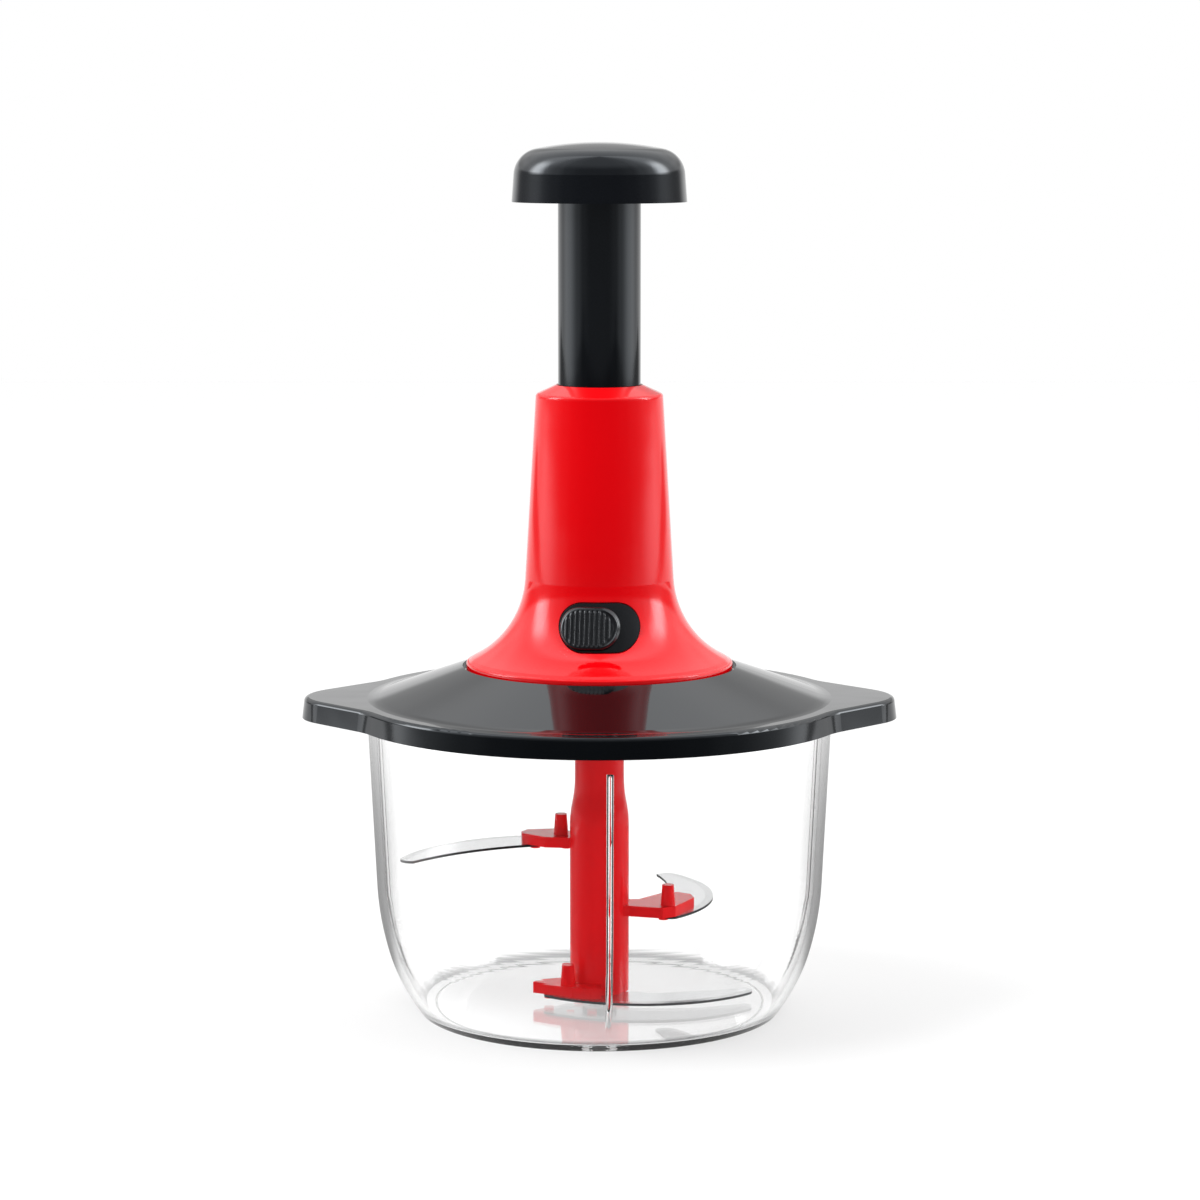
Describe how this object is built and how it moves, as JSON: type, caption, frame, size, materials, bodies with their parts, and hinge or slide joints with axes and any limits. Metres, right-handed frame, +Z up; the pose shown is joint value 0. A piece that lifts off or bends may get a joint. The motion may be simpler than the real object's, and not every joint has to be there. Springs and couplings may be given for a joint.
{
  "type": "food chopper",
  "caption": "Hand-press food chopper: clear bowl, black lid with two ears, red tower with a lock switch, sprung push plunger that turns a blade carrier in the bowl.",
  "frame": {"origin": "centre of the bowl's foot on the surface it stands on", "axes": "+Z up along the plunger's axis, X through the lid's two ears, the lock switch towards -Y"},
  "size_m": [0.2066, 0.1728, 0.3012],
  "materials": {
    "clear": "clear moulded, polished",
    "red": "gloss moulded",
    "black": "gloss moulded",
    "blade_steel": "ground stainless sheet",
    "pin_steel": "turned stainless",
    "spring_steel": "drawn wire",
    "screw_steel": "zinc plated",
    "seal_rubber": "translucent silicone",
    "white_plastic": "acetal, satin"
  },
  "bodies": {
    "bowl": {"bowl": "clear", "bowl_pivot_pin": "pin_steel"},
    "lid": {"lid": "black", "lid_seal": "seal_rubber", "tower": "red", "tower_screws": "screw_steel", "lock_bezel": "black", "clutch_housing": "white_plastic", "housing_screws": "screw_steel", "spindle_bush": "white_plastic", "spring_washer": "spring_steel", "return_spring": "spring_steel"},
    "plunger": {"plunger_tube": "black", "plunger_cap": "black", "cap_screws": "screw_steel", "drive_nut": "white_plastic"},
    "drive": {"drive_rod": "pin_steel", "clutch_driver": "white_plastic"},
    "output": {"clutch_driven": "white_plastic", "output_spindle": "pin_steel", "spindle_clip": "spring_steel"},
    "blades": {"blade_carrier": "red", "blade_top": "blade_steel", "blade_middle": "blade_steel", "blade_bottom": "blade_steel"},
    "lock": {"lock_slider": "black"}
  },
  "joints": [
    {"name": "lid_lift", "type": "slide", "parent": "bowl", "child": "lid", "axis": [0, 0, 1], "range_m": [0, 0.08]},
    {"name": "plunger_press", "type": "slide", "parent": "lid", "child": "plunger", "axis": [0, 0, -1], "range_m": [0, 0.06], "stiffness_N_per_m": 250, "springref_m": -0.02, "deforming": ["return_spring"]},
    {"name": "drive_turn", "type": "hinge", "parent": "lid", "child": "drive", "pos_m": [0, 0, 0.13], "axis": [0, 0, 1], "range_deg": [-541, 0]},
    {"name": "output_turn", "type": "hinge", "parent": "lid", "child": "output", "pos_m": [0, 0, 0.12], "axis": [0, 0, 1], "range_deg": [-541, 0]},
    {"name": "blades_turn", "type": "hinge", "parent": "bowl", "child": "blades", "pos_m": [0, 0, 0.06], "axis": [0, 0, 1], "range_deg": [-541, 0]},
    {"name": "lock_slide", "type": "hinge", "parent": "lid", "child": "lock", "pos_m": [0, 0, 0.138], "axis": [0, 0, 1], "range_deg": [0, 12.4]}
  ],
  "couplings": [
    {"joint": "drive_turn", "follows": "plunger_press", "rad_per_m": -157.08},
    {"joint": "output_turn", "follows": "plunger_press", "rad_per_m": -157.08},
    {"joint": "blades_turn", "follows": "plunger_press", "rad_per_m": -157.08}
  ]
}
